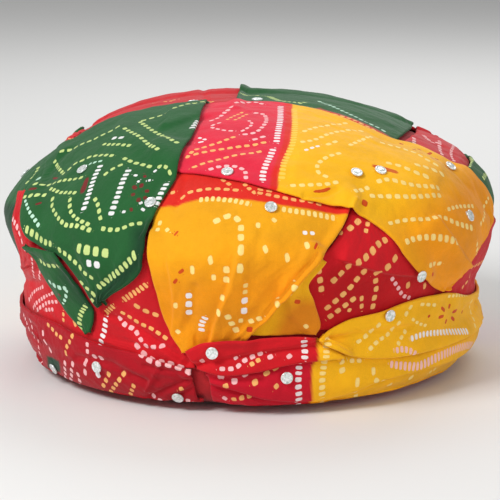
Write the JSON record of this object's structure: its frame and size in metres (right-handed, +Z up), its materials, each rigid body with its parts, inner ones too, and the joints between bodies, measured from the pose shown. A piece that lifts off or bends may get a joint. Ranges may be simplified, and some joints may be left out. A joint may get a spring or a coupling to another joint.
{
  "type": "tied turban",
  "caption": "Pre-tied cotton turban wound from tie-dyed cloth in red, yellow and green, with small round mirrors and a hollow for the head.",
  "frame": {"origin": "middle of the rim's flat underside", "axes": "+Z up, the turban's front towards -Y, +X to the right as its front is looked at"},
  "size_m": [0.2568, 0.2831, 0.1389],
  "materials": {
    "red": "woven cotton",
    "green": "woven cotton",
    "yellow": "woven cotton",
    "lining": "woven cotton",
    "mirror": "small glass mirror"
  },
  "bodies": {
    "root": {"crown_cap": "lining", "back_rim_band": "red", "back_lower_wrap": "yellow", "back_upper_wrap": "green", "back_top_wrap": "red", "left_back_wrap": "green", "top_left_wrap": "red", "top_back_wrap": "green", "right_back_red": "red", "right_back_green": "green", "right_side_red": "red", "recess_panel": "red", "left_red_drape": "red", "centre_pleat": "yellow", "rim_left_band": "red", "rim_right_lower": "yellow", "rim_right_middle": "yellow", "centre_drape": "yellow", "rim_right_upper": "red", "rim_right_leaf": "yellow", "upper_drape": "yellow", "left_green_drape": "green", "left_green_flap": "green", "sequin_01": "mirror", "sequin_02": "mirror", "sequin_03": "mirror", "sequin_04": "mirror", "sequin_05": "mirror", "sequin_06": "mirror", "sequin_07": "mirror", "sequin_08": "mirror", "sequin_09": "mirror", "sequin_10": "mirror", "sequin_11": "mirror", "sequin_12": "mirror", "sequin_13": "mirror", "sequin_14": "mirror", "sequin_15": "mirror", "sequin_16": "mirror", "sequin_17": "mirror", "sequin_18": "mirror"}
  },
  "joints": []
}
